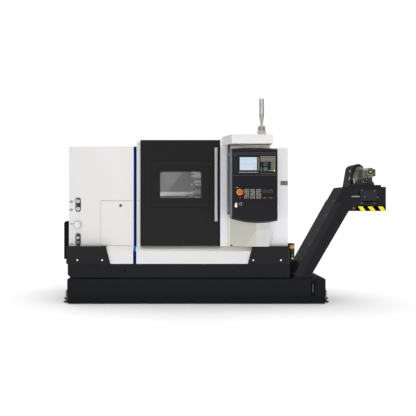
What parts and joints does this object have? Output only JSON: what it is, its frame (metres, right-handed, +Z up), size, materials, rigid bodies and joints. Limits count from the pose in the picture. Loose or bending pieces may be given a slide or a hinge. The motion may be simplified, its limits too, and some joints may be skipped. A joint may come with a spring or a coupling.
{
  "type": "cnc turning lathe",
  "caption": "Slant-bed turning machine in a sheet-metal enclosure with a sliding door, swivelling operator panel, tool turret, tailstock and an inclined chip conveyor.",
  "frame": {"origin": "on the floor under the middle of the whole machine, conveyor and panel included", "axes": "+X to the operator's right along the spindle, +Y from the operator to the back, +Z up"},
  "size_m": [3.451, 1.8, 2.145],
  "materials": {
    "black_paint": "semi-gloss black enamel",
    "blue_black_paint": "satin blue-black enamel",
    "white_paint": "fine textured white powder coat",
    "blue_paint": "gloss deep blue film",
    "door_paint": "satin black enamel",
    "conveyor_paint": "textured black powder coat",
    "zinc_steel": "bright zinc-plated steel",
    "black_plastic": "matt black moulding",
    "gauge_steel": "pressed stainless case",
    "tower_metal": "satin silver",
    "clear_lens": "clear ribbed lens",
    "window_glass": "grey safety glass",
    "brushed_handle": "brushed stainless",
    "ground_steel": "ground bearing steel",
    "panel_plastic": "textured dark panel paint",
    "key_plastic": "printed membrane keys",
    "red_plastic": "red moulding",
    "cast_grey": "painted grey casting",
    "chuck_steel": "hardened ground steel",
    "cover_steel": "folded stainless sheet",
    "turret_steel": "ground tool steel",
    "motor_aluminium": "cast aluminium"
  },
  "bodies": {
    "machine": {"accent_stripe": "blue_paint", "access_hatch": "white_paint", "bed_casting": "cast_grey", "bed_skirt": "blue_black_paint", "chain_guard": "conveyor_paint", "conveyor_covers": "conveyor_paint", "conveyor_gearmotor": "motor_aluminium", "conveyor_housing": "conveyor_paint", "coolant_tank": "black_paint", "corner_plates": "black_paint", "corner_screws": "zinc_steel", "door_portal": "white_paint", "front_apron": "white_paint", "guide_rails": "ground_steel", "headstock": "cast_grey", "hinge_belt": "ground_steel", "hood": "white_paint", "left_cover": "white_paint", "leveling_feet": "zinc_steel", "panel_column": "white_paint", "panel_hinge_rod": "black_paint", "pressure_gauge": "gauge_steel", "rail_runners": "ground_steel", "rear_cover": "white_paint", "right_cover": "white_paint", "roof_panel": "white_paint", "service_ports": "black_plastic", "side_box": "black_paint", "signal_lens": "clear_lens", "signal_tower": "tower_metal", "switch_box": "black_paint", "work_liner": "cover_steel"},
    "door": {"door_panel": "door_paint", "door_window": "window_glass", "door_handle": "brushed_handle", "door_rail": "ground_steel"},
    "panel": {"panel_housing": "panel_plastic", "display_unit": "panel_plastic", "entry_keys": "key_plastic", "control_unit": "key_plastic"},
    "spindle": {"spindle": "ground_steel", "chuck_body": "chuck_steel"},
    "turret": {"turret_disc": "turret_steel", "tool_holders": "turret_steel"},
    "estop": {"estop_button": "red_plastic"},
    "feed_knob": {"feed_knob": "black_plastic"},
    "speed_knob": {"speed_knob": "black_plastic"},
    "key_switch": {"key_switch": "zinc_steel"},
    "main_switch": {"main_switch": "red_plastic"},
    "hatch_lock": {"hatch_lock": "black_plastic"},
    "jaw_1": {"jaw_1": "chuck_steel"},
    "jaw_2": {"jaw_2": "chuck_steel"},
    "jaw_3": {"jaw_3": "chuck_steel"},
    "feed_screw": {"feed_screw": "ground_steel"},
    "carriage": {"carriage": "cast_grey"},
    "way_cover_mid": {"way_cover_mid": "cover_steel"},
    "cross_slide": {"cross_slide": "cast_grey"},
    "tailstock": {"tailstock": "cast_grey"},
    "tailstock_quill": {"tailstock_quill": "ground_steel"},
    "conveyor_shaft": {"conveyor_shaft": "ground_steel"}
  },
  "joints": [
    {"name": "door_slide", "type": "slide", "parent": "machine", "child": "door", "axis": [-1, 0, 0], "range_m": [0, 0.6]},
    {"name": "panel_swivel", "type": "hinge", "parent": "machine", "child": "panel", "pos_m": [0.0725, -0.743, 1], "axis": [0, 0, -1], "range_deg": [0, 75]},
    {"name": "estop_press", "type": "slide", "parent": "panel", "child": "estop", "axis": [0, 1, 0], "range_m": [0, 0.006], "stiffness_N_per_m": 900},
    {"name": "feed_knob_turn", "type": "hinge", "parent": "panel", "child": "feed_knob", "pos_m": [0.4235, -0.87, 1.172], "axis": [0, 1, 0], "range_deg": [-135, 135]},
    {"name": "speed_knob_turn", "type": "hinge", "parent": "panel", "child": "speed_knob", "pos_m": [0.4805, -0.87, 1.172], "axis": [0, 1, 0], "range_deg": [-135, 135]},
    {"name": "key_switch_turn", "type": "hinge", "parent": "panel", "child": "key_switch", "pos_m": [0.1325, -0.87, 1.044], "axis": [0, 1, 0], "range_deg": [0, 90]},
    {"name": "main_switch_turn", "type": "hinge", "parent": "machine", "child": "main_switch", "pos_m": [0.7415, -0.625, 0.584], "axis": [0, 1, 0], "range_deg": [0, 90]},
    {"name": "hatch_lock_turn", "type": "hinge", "parent": "machine", "child": "hatch_lock", "pos_m": [-1.0665, -0.585, 1.029], "axis": [0, 1, 0], "range_deg": [0, 90]},
    {"name": "spindle_spin", "type": "hinge", "parent": "machine", "child": "spindle", "pos_m": [-1.0145, -0.125, 1], "axis": [1, 0, 0], "continuous": true},
    {"name": "jaw_1_slide", "type": "slide", "parent": "spindle", "child": "jaw_1", "axis": [0, 0.7071, -0.7071], "range_m": [0, 0.005]},
    {"name": "jaw_2_slide", "type": "slide", "parent": "spindle", "child": "jaw_2", "axis": [0, 0.2588, 0.9659], "range_m": [0, 0.005]},
    {"name": "jaw_3_slide", "type": "slide", "parent": "spindle", "child": "jaw_3", "axis": [0, -0.9659, -0.2588], "range_m": [0, 0.005]},
    {"name": "carriage_slide", "type": "slide", "parent": "machine", "child": "carriage", "axis": [-1, 0, 0], "range_m": [0, 0.375]},
    {"name": "way_cover_mid_slide", "type": "slide", "parent": "machine", "child": "way_cover_mid", "axis": [-1, 0, 0], "range_m": [0, 0.1875]},
    {"name": "feed_screw_spin", "type": "hinge", "parent": "machine", "child": "feed_screw", "pos_m": [-0.6145, 0.27098, 0.91515], "axis": [1, 0, 0], "continuous": true},
    {"name": "cross_slide", "type": "slide", "parent": "carriage", "child": "cross_slide", "axis": [0, -0.7071, -0.7071], "range_m": [0, 0.095]},
    {"name": "turret_index", "type": "hinge", "parent": "cross_slide", "child": "turret", "pos_m": [-0.2145, 0.10834, 1.23334], "axis": [1, 0, 0], "continuous": true},
    {"name": "tailstock_slide", "type": "slide", "parent": "machine", "child": "tailstock", "axis": [-1, 0, 0], "range_m": [0, 0.15]},
    {"name": "quill_slide", "type": "slide", "parent": "tailstock", "child": "tailstock_quill", "axis": [-1, 0, 0], "range_m": [0, 0.08]},
    {"name": "conveyor_shaft_spin", "type": "hinge", "parent": "machine", "child": "conveyor_shaft", "pos_m": [1.6295, -0.455, 1.096], "axis": [0, 1, 0], "continuous": true}
  ],
  "couplings": [
    {"joint": "jaw_2_slide", "follows": "jaw_1_slide", "ratio": 1},
    {"joint": "jaw_3_slide", "follows": "jaw_1_slide", "ratio": 1},
    {"joint": "way_cover_mid_slide", "follows": "carriage_slide", "ratio": 0.5},
    {"joint": "feed_screw_spin", "follows": "carriage_slide", "rad_per_m": 628.32}
  ]
}
